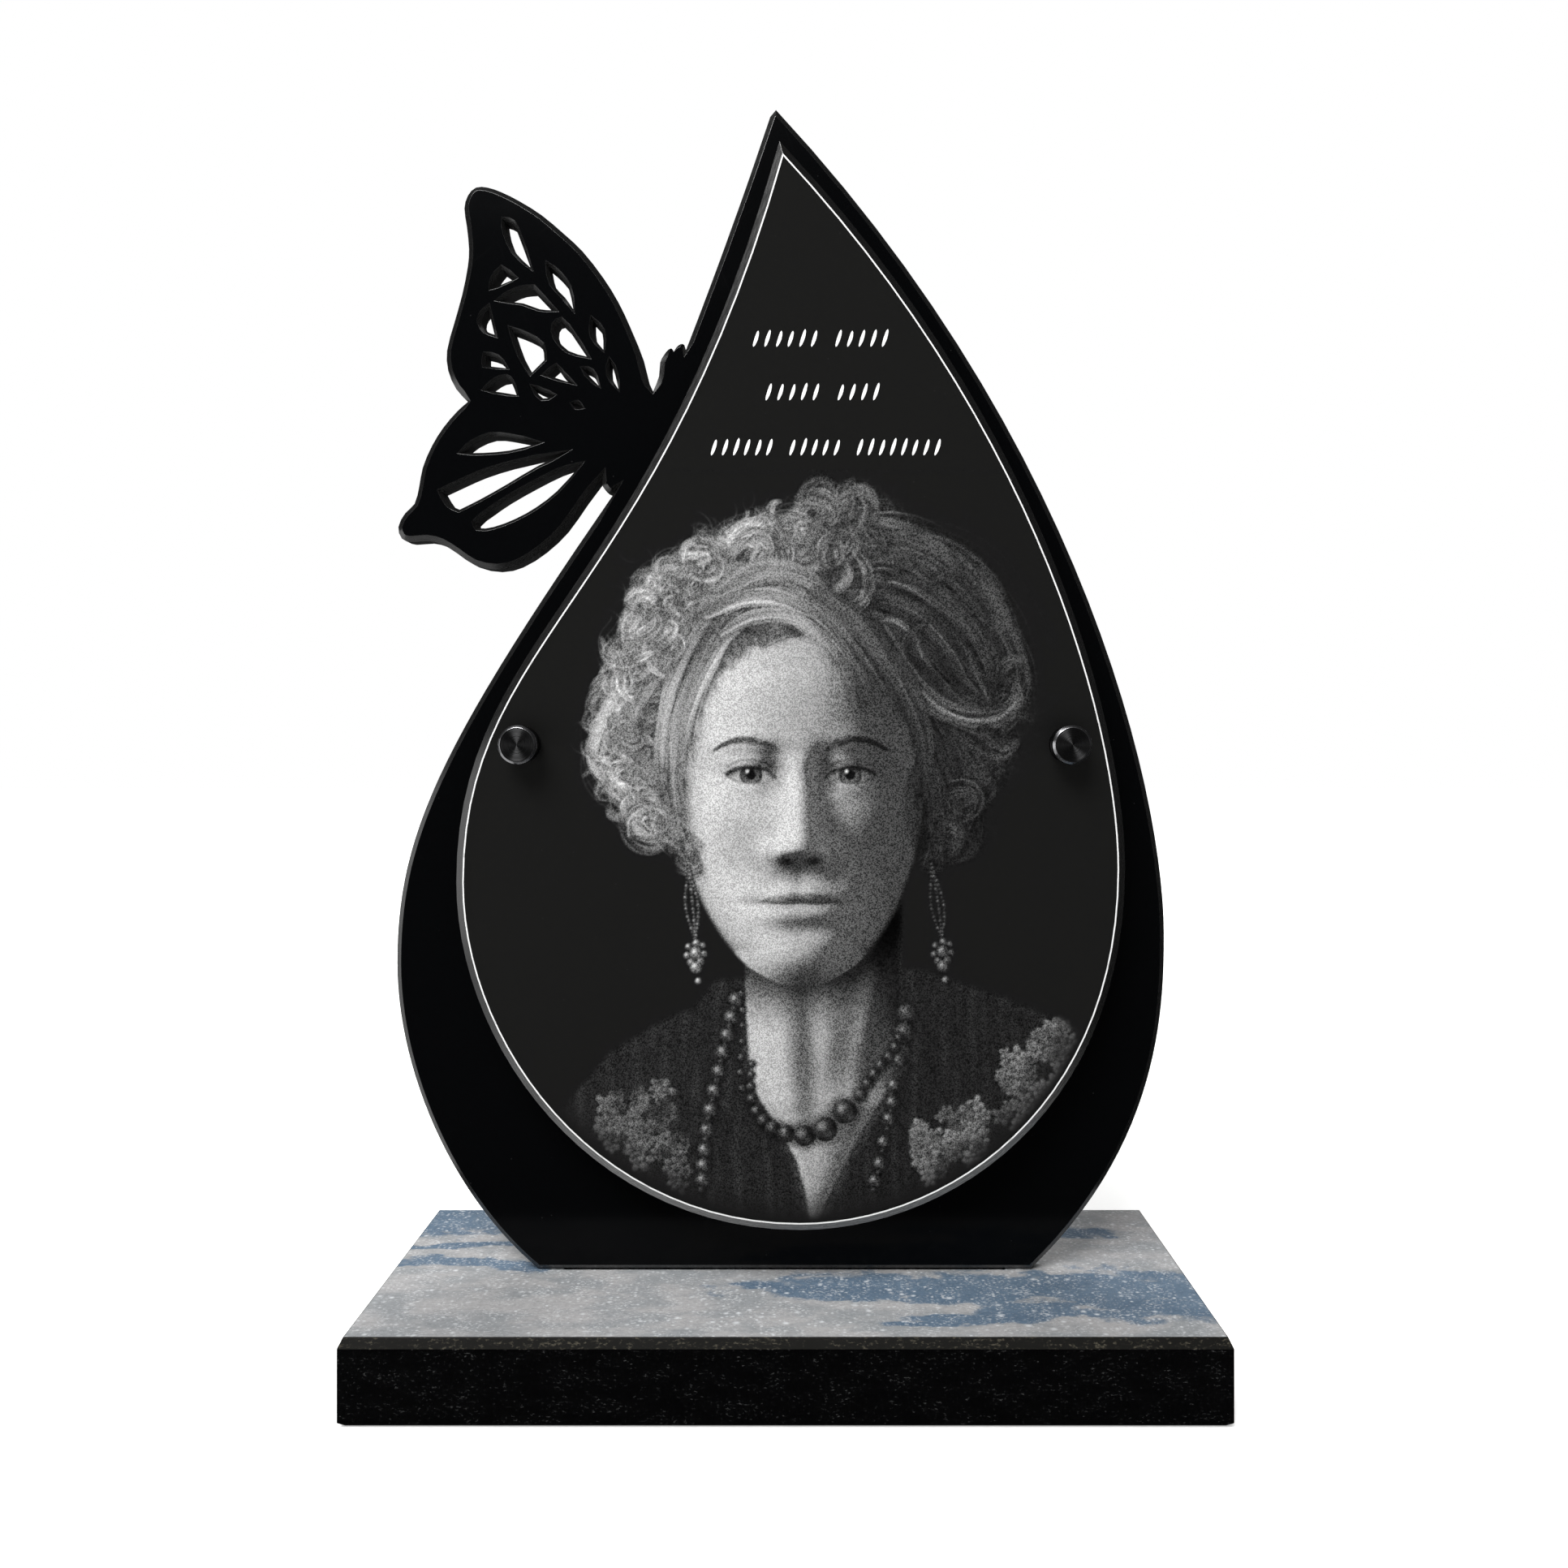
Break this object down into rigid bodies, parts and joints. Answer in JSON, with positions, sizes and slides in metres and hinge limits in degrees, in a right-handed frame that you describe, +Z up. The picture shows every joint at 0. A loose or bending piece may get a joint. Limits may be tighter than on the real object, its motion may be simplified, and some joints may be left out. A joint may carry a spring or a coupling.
{
  "type": "funeral plaque",
  "caption": "Upright memorial plaque: a drop-shaped acrylic back plate with a pierced butterfly on its flank, a smaller panel held in front on turned stand-offs, and a stone base block.",
  "frame": {"origin": "centre of the base block's underside", "axes": "+Z up, +X to the right seen from the front, +Y towards the back, so the front panel faces -Y"},
  "size_m": [0.3, 0.1, 0.4679],
  "materials": {
    "black_granite": "polished",
    "back_acrylic": "polished",
    "front_acrylic": "polished",
    "cap_metal": "satin",
    "dark_metal": "satin"
  },
  "bodies": {
    "root": {"base": "black_granite", "back_plate": "back_acrylic", "front_panel": "front_acrylic", "left_standoff_cap": "cap_metal", "right_standoff_cap": "cap_metal", "left_standoff_collar": "dark_metal", "right_standoff_collar": "dark_metal", "left_standoff_barrel": "dark_metal", "right_standoff_barrel": "dark_metal", "left_standoff_screw": "dark_metal", "right_standoff_screw": "dark_metal"}
  },
  "joints": []
}
